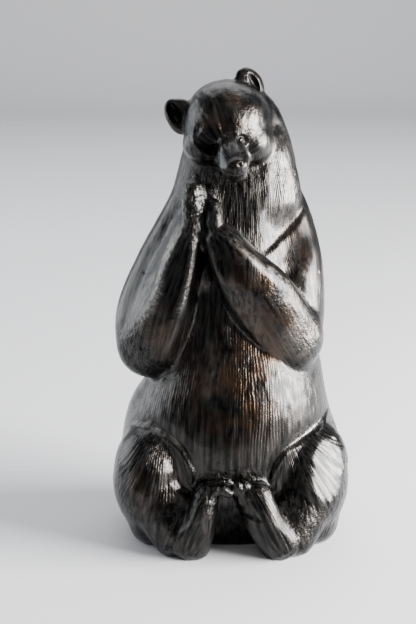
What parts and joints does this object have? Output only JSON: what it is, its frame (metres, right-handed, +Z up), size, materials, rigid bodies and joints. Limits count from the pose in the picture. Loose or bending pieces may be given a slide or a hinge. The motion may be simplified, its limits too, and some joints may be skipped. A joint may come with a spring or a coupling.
{
  "type": "bear statue",
  "caption": "Small cast bronze figure of a seated bear resting its tilted head on its joined forepaws.",
  "frame": {"origin": "centre of the figure's outline on the plane it stands on", "axes": "+Z up, -Y the way the bear faces, +X to the bear's left"},
  "size_m": [0.1266, 0.1156, 0.25],
  "materials": {
    "dark_bronze": "nearly black, glossily lacquered bronze, warm brown on the raised forms"
  },
  "bodies": {
    "root": {"bear": "dark_bronze"}
  },
  "joints": []
}
